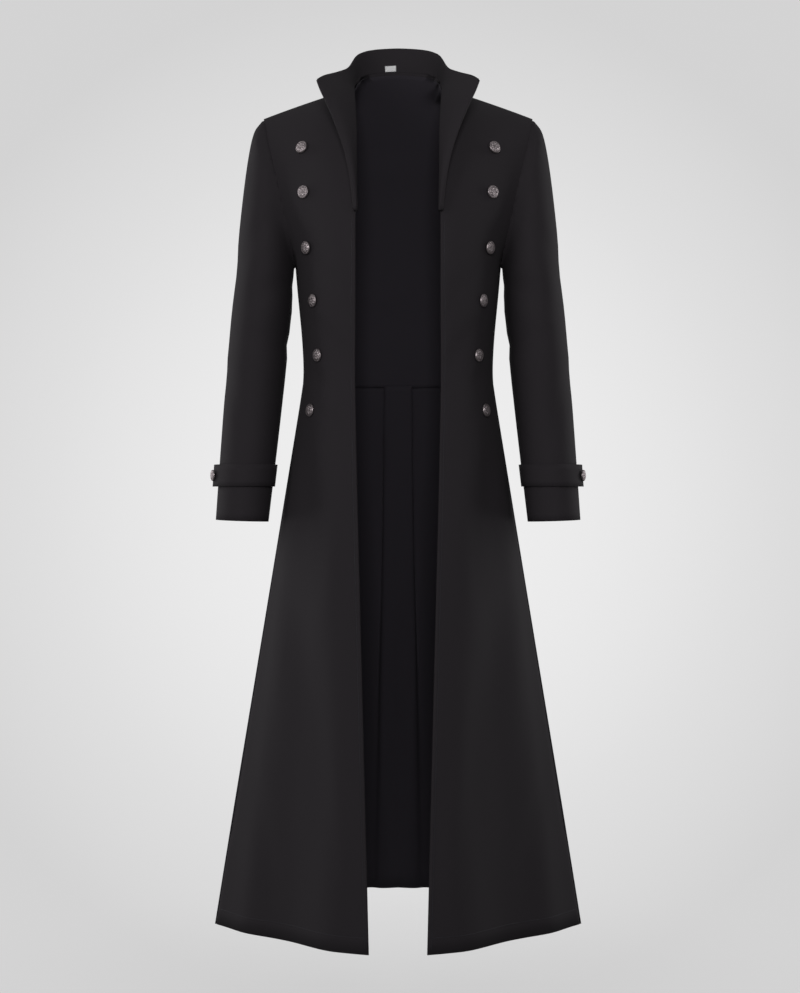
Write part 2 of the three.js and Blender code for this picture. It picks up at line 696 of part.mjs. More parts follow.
// A button on each side of the coat.
function addPair(label, radius, place, normal) {
  [["left", 1], ["right", -1]].forEach(([side, flip]) => {
    const at = point(flip * place.x, place.y, place.z);
    const out = point(flip * normal.x, normal.y, normal.z);
    const mesh = buttonMesh(label(side), radius, at, out);
    mesh.name = label(side);
    coat.add(mesh);
  });
}
BUTTON_ROWS.forEach((row, k) => {
  const { place, normal } = onPanel(front, row.x, row.z);
  addPair((side) => `button_${side}_${k + 1}`, BUTTON_RADIUS, place, normal);
});

// The strap's button sits near its free end, on the outer side of the sleeve.
const STRAP_BUTTON_COLUMN = STRAP_COLUMNS - 2;
const strapMiddle = band.grid[0][STRAP_BUTTON_COLUMN].clone().lerp(band.grid[1][STRAP_BUTTON_COLUMN], 0.5);
const strapOut = band.grid[0][STRAP_COLUMNS].clone().sub(band.grid[0][STRAP_BUTTON_COLUMN - 2]);
const strapNormal = point(strapOut.y, -strapOut.x, 0).normalize();
addPair((side) => `cuff_button_${side}`, CUFF_BUTTON_RADIUS, strapMiddle, strapNormal);

export default coat;
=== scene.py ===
"""A frock coat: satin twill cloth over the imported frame, with lining, buttons and stitching."""

import json
import math

import bmesh
import bpy
import numpy as np
from mathutils import Matrix, Vector
from mathutils.bvhtree import BVHTree

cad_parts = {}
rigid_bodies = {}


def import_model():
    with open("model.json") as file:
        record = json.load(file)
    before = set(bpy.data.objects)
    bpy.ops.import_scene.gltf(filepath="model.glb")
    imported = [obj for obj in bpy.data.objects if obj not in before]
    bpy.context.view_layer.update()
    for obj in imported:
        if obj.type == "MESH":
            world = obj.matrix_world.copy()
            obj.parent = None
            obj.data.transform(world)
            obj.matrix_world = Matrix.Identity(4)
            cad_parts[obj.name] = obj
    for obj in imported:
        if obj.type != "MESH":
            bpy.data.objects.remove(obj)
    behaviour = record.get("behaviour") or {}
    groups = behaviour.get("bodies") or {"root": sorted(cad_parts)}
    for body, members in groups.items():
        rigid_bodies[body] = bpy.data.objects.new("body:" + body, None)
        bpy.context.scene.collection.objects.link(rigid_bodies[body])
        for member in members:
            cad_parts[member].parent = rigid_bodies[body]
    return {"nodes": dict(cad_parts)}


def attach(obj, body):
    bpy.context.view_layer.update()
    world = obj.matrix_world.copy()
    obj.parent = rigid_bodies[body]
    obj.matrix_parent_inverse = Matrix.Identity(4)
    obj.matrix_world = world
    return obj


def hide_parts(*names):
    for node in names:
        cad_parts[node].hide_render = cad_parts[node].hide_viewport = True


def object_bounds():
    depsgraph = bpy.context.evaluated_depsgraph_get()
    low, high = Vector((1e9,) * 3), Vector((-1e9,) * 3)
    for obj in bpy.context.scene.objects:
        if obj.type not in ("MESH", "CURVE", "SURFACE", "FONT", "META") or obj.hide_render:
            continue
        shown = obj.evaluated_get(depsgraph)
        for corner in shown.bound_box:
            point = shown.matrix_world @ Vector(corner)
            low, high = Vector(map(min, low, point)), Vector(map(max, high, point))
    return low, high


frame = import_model()
CAD_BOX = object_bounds()

bl_info = {
    "name": "Frock coat",
    "version": (1, 0, 0),
    "blender": (4, 5, 0),
    "location": "View3D > Sidebar > Frock coat",
    "description": "Builds the cloth, buttons, stitching and studio of a frock coat",
    "category": "Object",
}

# Soft troughs and ridges of the fronts: place, slope of its run, half length, half width, height.
# A negative height is a trough. Each row gives (x, z, degrees, length, width, height) in metres.
FRONT_CREASES = [
    (0.100, -0.330, 62, 0.050, 0.011, -0.0024),
    (0.118, -0.372, 48, 0.042, 0.010, 0.0020),
    (0.092, -0.430, 70, 0.055, 0.012, -0.0026),
    (0.128, -0.470, 35, 0.036, 0.010, -0.0022),
    (0.105, -0.505, 82, 0.060, 0.013, 0.0024),
    (0.150, -0.250, 55, 0.045, 0.012, -0.0030),
    (0.158, -0.205, 66, 0.035, 0.010, 0.0022),
    (0.086, -0.150, 80, 0.060, 0.014, -0.0020),
    (0.150, -0.620, 84, 0.110, 0.018, -0.0034),
    (0.100, -0.700, 88, 0.130, 0.020, 0.0030),
    (0.190, -0.900, 80, 0.170, 0.024, 0.0040),
    (0.120, -1.050, 87, 0.180, 0.026, -0.0040),
    (0.215, -1.180, 78, 0.130, 0.020, -0.0034),
    (0.080, -1.200, 90, 0.120, 0.016, 0.0026),
]
SLEEVE_CREASES = [
    (0.205, -0.330, -28, 0.040, 0.011, -0.0034),
    (0.212, -0.368, -20, 0.036, 0.010, 0.0026),
    (0.200, -0.405, 12, 0.045, 0.012, -0.0038),
    (0.228, -0.440, 24, 0.034, 0.010, 0.0022),
    (0.222, -0.240, -52, 0.060, 0.013, -0.0030),
    (0.240, -0.130, -70, 0.050, 0.014, 0.0026),
    (0.250, -0.520, 74, 0.070, 0.014, -0.0022),
    (0.262, -0.300, 80, 0.080, 0.014, -0.0020),
]
BACK_CREASES = [
    (0.030, -0.300, 20, 0.060, 0.014, -0.0024),
    (-0.045, -0.345, -14, 0.070, 0.013, 0.0020),
    (0.060, -0.420, 30, 0.050, 0.012, -0.0026),
    (-0.070, -0.440, -28, 0.050, 0.012, -0.0022),
    (0.120, -0.180, 62, 0.060, 0.014, -0.0026),
    (-0.125, -0.190, -60, 0.055, 0.014, -0.0026),
    (0.000, -0.110, 4, 0.080, 0.016, -0.0018),
]
SKIRT_CREASES = [
    (0.030, -0.560, 78, 0.045, 0.009, -0.0030),
    (-0.028, -0.590, -80, 0.060, 0.010, 0.0028),
    (0.060, -0.660, 74, 0.080, 0.014, -0.0034),
    (-0.085, -0.640, -76, 0.090, 0.014, -0.0034),
    (0.120, -0.820, 82, 0.130, 0.020, 0.0040),
    (-0.140, -0.880, -80, 0.140, 0.020, -0.0040),
    (0.020, -0.900, 88, 0.120, 0.014, 0.0030),
    (-0.040, -1.100, -87, 0.120, 0.016, -0.0030),
]
# How far from the centre line the armhole, and below it the side seam, lies at each height.
SIDE_HEIGHTS = (-1.345, -0.85, -0.598, -0.53, -0.453, -0.405, -0.333, -0.285, -0.268, -0.240,
                -0.205, -0.168, -0.130, -0.095, -0.064, -0.048)
SIDE_PLACES = (0.295, 0.2145, 0.1735, 0.1625, 0.1525, 0.155, 0.162, 0.166, 0.1695, 0.175,
               0.1815, 0.1895, 0.1985, 0.2075, 0.214, 0.217)
UNDERARM = -0.287
SLEEVE_AXIS = (0.222, 0.004, 0.255, -0.020)  # x and y at the top, then at the cuff
STUDIO_EYE = (0.003, -2.5, -0.657)
FOCAL_LENGTH = 56.3
FLOOR_DROP = 0.14
SUBDIVISIONS = 2
MERGE_DISTANCE = 2e-5
RIM_ANGLE = math.radians(58)  # faces that meet more sharply than this are a wall's face and its rim
RIM_LENGTH = 0.0045  # shorter edges run through the cloth's thickness
CORNER_ANGLE = 0.6  # a border that turns more than this, in radians, has a sharp corner
WAIST_SEAM = -0.475
LINING_DEPTH = 0.0027
LINING_EASE = (-0.12, -0.03)  # between these heights the lining also sinks below the neck seam
FACES_IN = -0.05  # a face of the back whose normal points forward more than this looks inside

# Where a seam's laps start, and how far they reach under the next piece.
WAIST_LAP_BAND = 0.004
NECK_LAP_BAND = 0.006
NECK_HALF_WIDTH = 0.0722
SEAM_TUCK, SEAM_RISE = 0.0004, 0.0025  # in towards the middle of the coat, and up
SIDE_LAP_BAND = 0.0035
SIDE_TUCK, SIDE_REACH = 0.0005, 0.0016
HEAD_LAP_BAND = 0.0024
HEAD_TUCK, HEAD_REACH = 0.0007, 0.0045
ARMHOLE_MIDDLE = (0.004, -0.165)  # y and z

# A crease fades out from a seam: where it starts to show, and how much further on it is whole.
SIDE_FADE = (0.004, 0.04)
SLEEVE_HEAD_FADE = (0.2, 0.06)
CUFF_FADE = (-0.6, 0.05)
SLEEVE_LENGTH = 0.7
CREASE_BOW = 0.12  # how much a crease curves along its run

BUTTON_RINGS, BUTTON_SPOKES = 26, 96
BUTTON_RIM_HEIGHT, BUTTON_RELIEF_GAIN = 0.32, 1.55  # as shares of the button's height
BUTTON_BACK = ((1.0, 0.2), (0.82, 0.0))  # share of the radius and of the height, ring by ring
CUFF_HUB = (0.249, -0.012)  # x and y of the middle of the sleeve at the cuff button

THREAD_RADIUS = 0.00035
STITCH_SHARE = 0.38  # half a stitch's length, as a share of the distance between stitches
STITCH_SINK = 0.0002
EDGE_STITCHES = (-0.24, -1.335, 60)  # top, foot and number of points
HEM_STITCHES = (0.052, 0.286, 50)  # from, to and number of points
HEM_STITCH_HEIGHT = -1.345 + 0.025
EDGE_SCAN = (0.03, 0.1, 0.001)  # from, to and step of the search for the front's edge

# How bright the surround is towards the back, by how directly the eye looks that way.
SURROUND = ((0.0, 0.64), (0.95, 0.655), (0.975, 0.74), (0.993, 0.83), (1.0, 0.86))
SURROUND_LIGHT = 0.13  # the share of that brightness which lights the coat
FLOOR_RADIUS = 1.2
FLOOR_FADE = (0.1, 0.9, 0.12, 0.0)  # from this distance to that one, it fades between these shares
# Each lamp's name, place, size, power and aim.
LAMPS = (
    ("key", (-2.4, -2.2, 0.0), (1.4, 2.2), 20, (0, 0, -0.9)),
    ("fill", (2.4, -1.9, 0.3), (1.2, 1.8), 6, (0.2, 0, -0.1)),
    ("left_edge", (-2.0, 0.8, -0.2), (0.8, 2.2), 16, (0, 0, -0.55)),
    ("right_edge", (2.0, 0.8, -0.2), (0.8, 2.2), 16, (0, 0, -0.55)),
    ("front", (0, -2.7, 0.1), (0.6, 0.9), 21, (0, 0, -0.3)),
    ("top", (0, -0.3, 1.7), (1.6, 1.2), 3, (0, 0, -0.55)),
    ("behind", (0, 2.4, 0.2), (1.6, 2.2), 12, (0, 0, -0.55)),
)


class CoatSettings(bpy.types.PropertyGroup):
    cloth_colour: bpy.props.FloatVectorProperty(
        name="Cloth", description="Colour of the satin twill", subtype="COLOR",
        default=(0.0070, 0.0074, 0.0104))
    # The lining's purple-black hue is its own, but this colour is far lighter than the real satin:
    # painted light that brightens the inside of the coat.
    lining_colour: bpy.props.FloatVectorProperty(
        name="Lining", description="Colour of the lining satin", subtype="COLOR",
        default=(0.250, 0.205, 0.310))
    metal_colour: bpy.props.FloatVectorProperty(
        name="Buttons", description="Colour of the silvered metal", subtype="COLOR",
        default=(0.93, 0.84, 0.87))
    stitch_length: bpy.props.FloatProperty(
        name="Stitch", description="Length of one stitch", default=0.0030, unit="LENGTH")
    stitch_inset: bpy.props.FloatProperty(
        name="Stitch inset", description="From the edge to the stitching", default=0.006,
        unit="LENGTH")
    twill_pitch: bpy.props.FloatProperty(
        name="Twill", description="Half the distance between the twill's ribs",
        default=0.0011, unit="LENGTH")


class Socket:
    """A shader value that Python's operators add Math nodes to."""

    def __init__(self, maker, link):
        self.maker, self.link = maker, link

    def _math(self, operation, *values):
        return self.maker.node("ShaderNodeMath", {"operation": operation}, *values)

    def __add__(self, other):
        return self._math("ADD", self, other)

    def __mul__(self, other):
        return self._math("MULTIPLY", self, other)

    def __sub__(self, other):
        return self._math("SUBTRACT", self, other)

    def __rsub__(self, other):
        return self._math("SUBTRACT", other, self)

    __radd__, __rmul__ = __add__, __mul__


class Maker:
    """Adds nodes to one material's tree."""

    def __init__(self, name):
        self.material = bpy.data.materials.new(name)
        self.material.use_nodes = True
        self.tree = self.material.node_tree
        self.tree.nodes.clear()

    def node(self, kind, settings, *values, out=0, **named):
        made = self.tree.nodes.new(kind)
        for key, value in settings.items():
            setattr(made, key, value)
        for key, value in [*enumerate(values), *named.items()]:
            key = key.replace("_", " ") if isinstance(key, str) else key
            if isinstance(value, Socket):
                self.tree.links.new(value.link, made.inputs[key])
            else:
                made.inputs[key].default_value = value
        return Socket(self, made.outputs[out])

    def place(self, scale=(1, 1, 1), turn=(0, 0, 0)):
        where = self.node("ShaderNodeTexCoord", {}, out=3)
        return self.node("ShaderNodeMapping", {}, where, Rotation=turn, Scale=scale)

    def noise(self, vector, scale, detail=3.0, rough=0.5):
        return self.node("ShaderNodeTexNoise", {}, Vector=vector, Scale=scale, Detail=detail,
                         Roughness=rough)

    def blend(self, factor, low, high):
        made = self.tree.nodes.new("ShaderNodeMix")
        made.data_type = "RGBA"
        self.tree.links.new(factor.link, made.inputs[0])
        made.inputs[6].default_value = (*low, 1)
        made.inputs[7].default_value = (*high, 1)
        return Socket(self, made.outputs[2])

    def finish(self, shader):
        out = self.tree.nodes.new("ShaderNodeOutputMaterial")
        self.tree.links.new(shader.link, out.inputs[0])
        return self.material


def scaled(colour, factor):
    return tuple(c * factor for c in colour)


def cloth_material(name, colour, pitch, gloss, sheen):
    """Satin-faced twill: fine slanting ribs, soft uneven gloss and faint wear of the colour."""
    m = Maker(name)
    broad = m.noise(m.place((1, 1, 0.35)), 7.0)
    fine = m.noise(m.place(), 900.0, 2.0)
    ribs = m.node("ShaderNodeTexWave", {"wave_type": "BANDS", "bands_direction": "X"},
                  Vector=m.place(turn=(0, math.radians(32), 0)),
                  Scale=0.5 / pitch * 0.318, Distortion=0.6, Detail=1.0, out=1)
    height = ribs * 0.6 + fine * 0.4
    bump = m.node("ShaderNodeBump", {}, Strength=0.16, Distance=0.0002, Height=height)
    shade = broad * 0.7 + ribs * 0.15 + fine * 0.15
    tone = m.blend(shade, scaled(colour, 0.72), scaled(colour, 1.3))
    rough = broad * 0.14 + (gloss + fine * 0.06)
    return m.finish(m.node("ShaderNodeBsdfPrincipled", {}, Base_Color=tone, Roughness=rough,
                           Normal=bump, Sheen_Weight=sheen, Sheen_Roughness=0.45,
                           Specular_IOR_Level=0.36))


def metal_material(colour):
    """Antique silver: dark in its hollows, rubbed bright on what stands up."""
    m = Maker("button_metal")
    relief = m.node("ShaderNodeAttribute", {"attribute_name": "relief"}, out=2)
    spots = m.noise(m.place(), 1500.0, 3.0)
    worn = m.node("ShaderNodeClamp", {}, relief * 1.3 + (spots * 0.35 - 0.2))
    tone = m.blend(worn, scaled(colour, 0.07), colour)
    rough = 0.46 - worn * 0.22
    return m.finish(m.node("ShaderNodeBsdfPrincipled", {}, Base_Color=tone, Roughness=rough,
                           Metallic=1.0))


def cad_object(node):
    return bpy.data.objects.get(node) or frame["nodes"][node]


def plain_copy(node):
    """A merged copy of a CAD node's mesh, as quads with its sharp edges held."""
    work = bmesh.new()
    work.from_mesh(cad_object(node).data)
    bmesh.ops.remove_doubles(work, verts=work.verts, dist=MERGE_DISTANCE)
    bmesh.ops.join_triangles(work, faces=work.faces, angle_face_threshold=math.radians(60),
                             angle_shape_threshold=math.radians(140))
    crease = work.edges.layers.float.new("crease_edge")
    for edge in work.edges:
        if len(edge.link_faces) == 2 and edge.calc_face_angle(0) > RIM_ANGLE:
            edge[crease] = 1.0
    point = work.verts.layers.float.new("crease_vert")
    for vert in work.verts:
        held = [e for e in vert.link_edges if e[crease] > 0 and e.calc_length() > RIM_LENGTH]
        if len(held) == 2:
            a, b = ((e.other_vert(vert).co - vert.co).normalized() for e in held)
            if a.angle(-b, 0) > CORNER_ANGLE:
                vert[point] = 1.0
    mesh = bpy.data.meshes.new(node + "_cloth")
    work.to_mesh(mesh)
    work.free()
    return mesh


def smooth_piece(name, node):
    """A fine mesh on the form of a CAD node."""
    rough = bpy.data.objects.new(name + "_rough", plain_copy(node))
    bpy.context.scene.collection.objects.link(rough)
    finer = rough.modifiers.new("finer", "SUBSURF")
    finer.levels = finer.render_levels = SUBDIVISIONS
    graph = bpy.context.evaluated_depsgraph_get()
    mesh = bpy.data.meshes.new_from_object(rough.evaluated_get(graph))
    bpy.data.objects.remove(rough)
    for face in mesh.polygons:
        face.use_smooth = True
    piece = bpy.data.objects.new(name, mesh)
    bpy.context.scene.collection.objects.link(piece)
    return piece


def grown(values, start, width):
    """0 up to start, then rising to 1 over width."""
    return np.clip((values - start) / width, 0, 1)


def crease(piece, rows, flip=1, axis=None):
    """Moves both faces of a cloth wall together, out from the coat's middle or a sleeve's axis."""
    count = len(piece.data.vertices)
    points = np.empty(count * 3)
    piece.data.vertices.foreach_get("co", points)
    points = points.reshape(-1, 3)
    if axis is None:
        out = points[:, :2].copy()
    else:
        share = np.clip(-points[:, 2] / SLEEVE_LENGTH, 0, 1)[:, None]
        top, foot = np.array(axis[:2]), np.array(axis[2:])
        centre = (top + (foot - top) * share) * np.array([flip, 1])
        out = points[:, :2] - centre
    out /= np.maximum(np.linalg.norm(out, axis=1), 1e-6)[:, None]
    push = np.zeros(count)
    for x, z, degrees, length, width, height in rows:
        angle = math.radians(degrees)
        dx, dz = points[:, 0] * flip - x, points[:, 2] - z
        along = dx * math.cos(angle) + dz * math.sin(angle)
        across = -dx * math.sin(angle) + dz * math.cos(angle)
        bend = across + CREASE_BOW * along * along / length
        push += height * np.exp(-((bend / width) ** 2) - (along / length) ** 2)
    if axis is None:
        side = np.interp(points[:, 2], SIDE_HEIGHTS, SIDE_PLACES)
        push *= grown(side - np.abs(points[:, 0]), *SIDE_FADE)
    else:
        push *= grown(-points[:, 2], *SLEEVE_HEAD_FADE)
        push *= grown(points[:, 2], *CUFF_FADE)
    points[:, :2] += out * push[:, None]
    piece.data.vertices.foreach_set("co", points.ravel())
    piece.data.update()


def reshape(piece, rule):
    """Moves each point of a piece to where the rule puts it."""
    for vert in piece.data.vertices:
        vert.co = rule(vert.co.copy())
    piece.data.update()


def inwards(p, distance):
    reach = max(math.hypot(p.x, p.y), 1e-6)
    return Vector((p.x - p.x / reach * distance, p.y - p.y / reach * distance, p.z))


def eased(low, high, value):
    share = min(1.0, max(0.0, (value - low) / (high - low)))
    return share * share * (3 - 2 * share)


def lap_under_bodice(p):
    """The top of the back skirt is caught inside the waist seam."""
    if p.z < WAIST_SEAM - WAIST_LAP_BAND:
        return p
    moved = inwards(p, SEAM_TUCK)
    moved.z += SEAM_RISE
    return moved


def lap_into_collar(p):
    """The neck edge of the back is caught inside the collar."""
    neck = 0.045 - 4.1 * p.x * p.x - abs(p.x) ** 1.5  # the height of the seam, from the nape
    if abs(p.x) > NECK_HALF_WIDTH or p.y < 0.001 or p.z < neck - NECK_LAP_BAND:
        return p
    moved = inwards(p, SEAM_TUCK)
    moved.z += SEAM_RISE
    return moved


def side_place(z):
    return float(np.interp(z, SIDE_HEIGHTS, SIDE_PLACES))


def lap_side_seam(p):
    """The front's side edge is caught just inside the back."""
    if p.z > UNDERARM or abs(p.x) < side_place(p.z) - SIDE_LAP_BAND:
        return p
    return Vector((p.x - math.copysign(SIDE_TUCK, p.x), p.y + SIDE_REACH, p.z))


def lap_into_armhole(p):
    """The head of the sleeve is caught inside the armhole."""
    if p.z < UNDERARM or abs(p.x) > side_place(p.z) + HEAD_LAP_BAND:
        return p
    centre = Vector((p.x, *ARMHOLE_MIDDLE))
    moved = p + (centre - p).normalized() * HEAD_TUCK
    moved.x -= math.copysign(HEAD_REACH, p.x)
    return moved


def lie_inside(p):
    """The lining follows the back bodice from the inside."""
    moved = inwards(p, LINING_DEPTH)
    moved.z -= LINING_DEPTH * eased(*LINING_EASE, p.z)
    return moved


def stand_for(piece, node, material):
    piece.data.materials.clear()
    piece.data.materials.append(bpy.data.materials[material])
    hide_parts(node)
    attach(piece, "root")


def line_inside(piece):
    """Gives the faces that look into the coat the lining's finish, whose lightened colour is
    painted light on the skirt's inside.
    """
    piece.data.materials.append(bpy.data.materials["lining"])
    for face in piece.data.polygons:
        face.material_index = int(face.normal.y < FACES_IN)


class COAT_OT_materials(bpy.types.Operator):
    """Make the cloth, lining, thread, label and metal finishes"""

    bl_idname, bl_label = "coat.materials", "Materials"

    def execute(self, context):
        s = context.scene.coat
        cloth_material("cloth", s.cloth_colour, s.twill_pitch, 0.33, 0.04)
        # The lining finish carries painted light: its colour is far lighter than the real satin, to
        # brighten the inside of the coat.
        cloth_material("lining", s.lining_colour, s.twill_pitch * 0.8, 0.27, 0.1)
        cloth_material("thread", scaled(s.cloth_colour, 2.6), 0.0004, 0.4, 0.2)
        cloth_material("label", (0.97, 0.97, 0.98), 0.0006, 0.6, 0.0)
        metal_material(s.metal_colour)
        return {"FINISHED"}


class COAT_OT_fronts(bpy.types.Operator):
    """Make both fronts, with their drag lines and soft skirt folds"""

    bl_idname, bl_label = "coat.fronts", "Fronts"

    def execute(self, context):
        for side, flip in (("left", 1), ("right", -1)):
            piece = smooth_piece("front_" + side + "_cloth", "front_" + side)
            reshape(piece, lap_side_seam)
            crease(piece, FRONT_CREASES, flip)
            stand_for(piece, "front_" + side, "cloth")
        return {"FINISHED"}


class COAT_OT_back(bpy.types.Operator):
    """Make the back bodice, its lining and the pleated back skirt"""

    bl_idname, bl_label = "coat.back", "Back"

    def execute(self, context):
        for node, form, rows, material, rule in (
            ("back_bodice", "back_bodice", BACK_CREASES, "cloth", lap_into_collar),
            ("back_lining", "back_bodice", BACK_CREASES, "lining", lie_inside),
            ("back_skirt", "back_skirt", SKIRT_CREASES, "cloth", lap_under_bodice),
        ):
            piece = smooth_piece(node + "_cloth", form)
            reshape(piece, rule)
            crease(piece, rows)
            stand_for(piece, node, material)
            if node == "back_skirt":
                line_inside(piece)
        return {"FINISHED"}


class COAT_OT_collar(bpy.types.Operator):
    """Make the collar with its lapels, and the bare neck label"""

    bl_idname, bl_label = "coat.collar", "Collar and label"

    def execute(self, context):
        stand_for(smooth_piece("collar_cloth", "collar"), "collar", "cloth")
        stand_for(smooth_piece("label_cloth", "label"), "label", "label")
        return {"FINISHED"}


class COAT_OT_sleeves(bpy.types.Operator):
    """Make the sleeves with their elbow folds, and the straps round their cuffs"""

    bl_idname, bl_label = "coat.sleeves", "Sleeves"

    def execute(self, context):
        for side, flip in (("left", 1), ("right", -1)):
            piece = smooth_piece("sleeve_" + side + "_cloth", "sleeve_" + side)
            reshape(piece, lap_into_armhole)
            crease(piece, SLEEVE_CREASES, flip, SLEEVE_AXIS)
            stand_for(piece, "sleeve_" + side, "cloth")
            strap = smooth_piece("cuff_strap_" + side + "_cloth", "cuff_strap_" + side)
            stand_for(strap, "cuff_strap_" + side, "cloth")
        return {"FINISHED"}


def relief(r, angle):
    """Height and brightness of a button's face: a roped rim round a rosette of eight petals."""
    dome = 0.44 * (1 - r * r) ** 0.5 if r < 1 else 0.0
    rim = math.exp(-(((r - 0.9) / 0.06) ** 2)) * (0.75 + 0.25 * math.cos(32 * angle + 14 * r))
    petal = abs(math.cos(4 * angle)) ** 0.6 * math.exp(-(((r - 0.5) / 0.2) ** 2))
    inner = abs(math.sin(4 * angle)) ** 0.8 * math.exp(-(((r - 0.27) / 0.09) ** 2))
    middle = math.exp(-((r / 0.13) ** 2))
    raised = max(rim, petal, 0.8 * inner, middle)
    return dome * 0.62 + 0.12 * raised, raised


def face_height(height, rise):
    return height * (BUTTON_RIM_HEIGHT + rise * BUTTON_RELIEF_GAIN)


def button_mesh(name, radius, height):
    work = bmesh.new()
    layer = work.verts.layers.float.new("relief")
    top, foot = work.verts.new((0, 0, height)), work.verts.new((0, 0, 0))
    top[layer] = 1.0
    rings = []
    for k in range(1, BUTTON_RINGS + 1):
        r = k / BUTTON_RINGS
        ring = []
        for j in range(BUTTON_SPOKES):
            angle = 2 * math.pi * j / BUTTON_SPOKES
            rise, raised = relief(r, angle)
            vert = work.verts.new((radius * r * math.cos(angle), radius * r * math.sin(angle),
                                   face_height(height, rise)))
            vert[layer] = raised
            ring.append(vert)
        rings.append(ring)
    for share, level in BUTTON_BACK:
        rings.append([
            work.verts.new((v.co.x * share, v.co.y * share, height * level))
            for v in rings[BUTTON_RINGS - 1]
        ])
    for j in range(BUTTON_SPOKES):
        n = (j + 1) % BUTTON_SPOKES
        work.faces.new((top, rings[0][j], rings[0][n]))
        work.faces.new((foot, rings[-1][n], rings[-1][j]))
        for a, b in zip(rings, rings[1:]):
            work.faces.new((a[j], b[j], b[n], a[n]))
    top.co.z = face_height(height, relief(0, 0)[0])
    bmesh.ops.recalc_face_normals(work, faces=work.faces)
    for face in work.faces:
        face.smooth = True
    mesh = bpy.data.meshes.new(name)
    work.to_mesh(mesh)
    work.free()
    return mesh


class COAT_OT_buttons(bpy.types.Operator):
    """Make the domed buttons, each with a roped rim and a rosette"""

    bl_idname, bl_label = "coat.buttons", "Buttons"

    def execute(self, context):
        for node in sorted(n for n in frame["nodes"] if "button" in n):
            points = np.array([v.co for v in cad_object(node).data.vertices])
            middle = points.mean(0)
            axis = np.linalg.eigh(np.cov((points - middle).T))[1][:, 0]  # the thinnest way through
            side = 1 if middle[0] > 0 else -1
            hub = np.array([CUFF_HUB[0] * side, CUFF_HUB[1]]) if "cuff" in node else np.zeros(2)
            if axis[:2] @ (middle[:2] - hub) < 0:
                axis = -axis
            reach = (points - middle) @ axis
            height = reach.max() - reach.min()
            radius = np.linalg.norm(points - middle - np.outer(reach, axis), axis=1).max()
            back = middle + axis * reach.min()
            mesh = button_mesh(node + "_metal", radius, height)
            turn = Vector(axis).to_track_quat("Z", "Y").to_matrix().to_4x4()
            mesh.transform(Matrix.Translation(Vector(back)) @ turn)
            piece = bpy.data.objects.new(node + "_metal", mesh)
            context.scene.collection.objects.link(piece)
            mesh.materials.append(bpy.data.materials["button_metal"])
            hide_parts(node)
            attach(piece, "root")
        return {"FINISHED"}


def stitch_tree():
    """Short rounded stitches end to end along a line, laid on the cloth."""
    tree = bpy.data.node_groups.new("stitches", "GeometryNodeTree")
    for name, way, kind in (
        ("Line", "INPUT", "NodeSocketGeometry"),
        ("Stitch length", "INPUT", "NodeSocketFloat"),
        ("Thread", "INPUT", "NodeSocketFloat"),
        ("Material", "INPUT", "NodeSocketMaterial"),
        ("Stitches", "OUTPUT", "NodeSocketGeometry"),
    ):
        tree.interface.new_socket(name, in_out=way, socket_type=kind)
    new, link = tree.nodes.new, tree.links.new
    start, end = new("NodeGroupInput"), new("NodeGroupOutput")
    curve, even = new("GeometryNodeMeshToCurve"), new("GeometryNodeResampleCurve")
    even.mode = "LENGTH"
    copies, turn = new("GeometryNodeInstanceOnPoints"), new("FunctionNodeAlignRotationToVector")
    turn.axis = "Z"
    tangent, thread = new("GeometryNodeInputTangent"), new("GeometryNodeMeshUVSphere")
    thread.inputs["Segments"].default_value = 6
    thread.inputs["Rings"].default_value = 4
    size, long = new("ShaderNodeCombineXYZ"), new("ShaderNodeMath")
    long.operation = "MULTIPLY"
    long.inputs[1].default_value = STITCH_SHARE
    real, paint = new("GeometryNodeRealizeInstances"), new("GeometryNodeSetMaterial")
    link(start.outputs["Line"], curve.inputs[0])
    link(curve.outputs[0], even.inputs["Curve"])
    link(start.outputs["Stitch length"], even.inputs["Length"])
    link(even.outputs[0], copies.inputs["Points"])
    link(tangent.outputs[0], turn.inputs["Vector"])
    link(turn.outputs[0], copies.inputs["Rotation"])
    link(thread.outputs["Mesh"], copies.inputs["Instance"])
    link(start.outputs["Stitch length"], long.inputs[0])
    link(start.outputs["Thread"], size.inputs[0])
    link(start.outputs["Thread"], size.inputs[1])
    link(long.outputs[0], size.inputs[2])
    link(size.outputs[0], copies.inputs["Scale"])
    link(copies.outputs[0], real.inputs[0])
    link(real.outputs[0], paint.inputs["Geometry"])
    link(start.outputs["Material"], paint.inputs["Material"])
    link(paint.outputs[0], end.inputs[0])
    return tree


def stitch_run(name, tree, points, length):
    mesh = bpy.data.meshes.new(name + "_line")
    mesh.from_pydata(points, [(k, k + 1) for k in range(len(points) - 1)], [])
    line = bpy.data.objects.new(name + "_line", mesh)
    bpy.context.scene.collection.objects.link(line)
    modifier = line.modifiers.new("stitches", "NODES")
    modifier.node_group = tree
    sockets = {i.name: i.identifier for i in tree.interface.items_tree if i.in_out == "INPUT"}
    modifier[sockets["Stitch length"]] = length
    modifier[sockets["Thread"]] = THREAD_RADIUS
    modifier[sockets["Material"]] = bpy.data.materials["thread"]
    graph = bpy.context.evaluated_depsgraph_get()
    made = bpy.data.meshes.new_from_object(line.evaluated_get(graph))
    bpy.data.objects.remove(line)
    piece = bpy.data.objects.new(name, made)
    bpy.context.scene.collection.objects.link(piece)
    if not made.polygons:
        raise RuntimeError(name + " has no stitches")
    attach(piece, "root")


